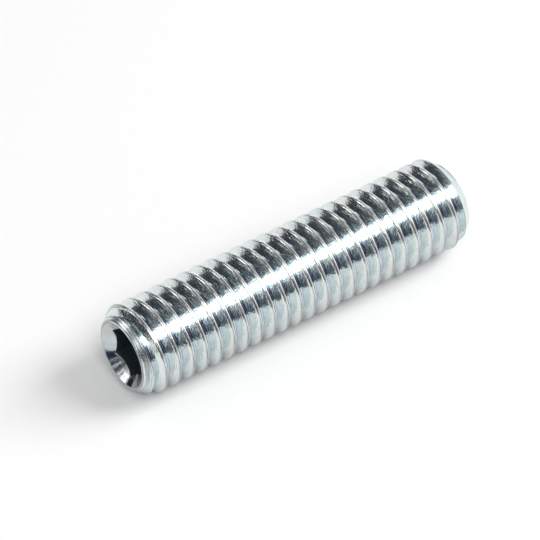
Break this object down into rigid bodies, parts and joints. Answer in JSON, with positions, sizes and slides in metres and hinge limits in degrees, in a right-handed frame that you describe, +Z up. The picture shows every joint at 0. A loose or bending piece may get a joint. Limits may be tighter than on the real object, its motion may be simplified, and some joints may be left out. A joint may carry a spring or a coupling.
{
  "type": "grub set screw",
  "caption": "Headless socket set screw, threaded over its whole length, with a hexagon socket in one end and a chamfered flat point at the other.",
  "frame": {"origin": "midway along the screw, on the surface that its crests lie on", "axes": "+X along the screw's axis towards the flat point, with the hexagon socket at the -X end, and +Z up"},
  "size_m": [0.0246, 0.006, 0.0059],
  "materials": {
    "zinc_plated_steel": "bright zinc plating with a clear blue passivation"
  },
  "bodies": {
    "root": {"set_screw": "zinc_plated_steel"}
  },
  "joints": []
}
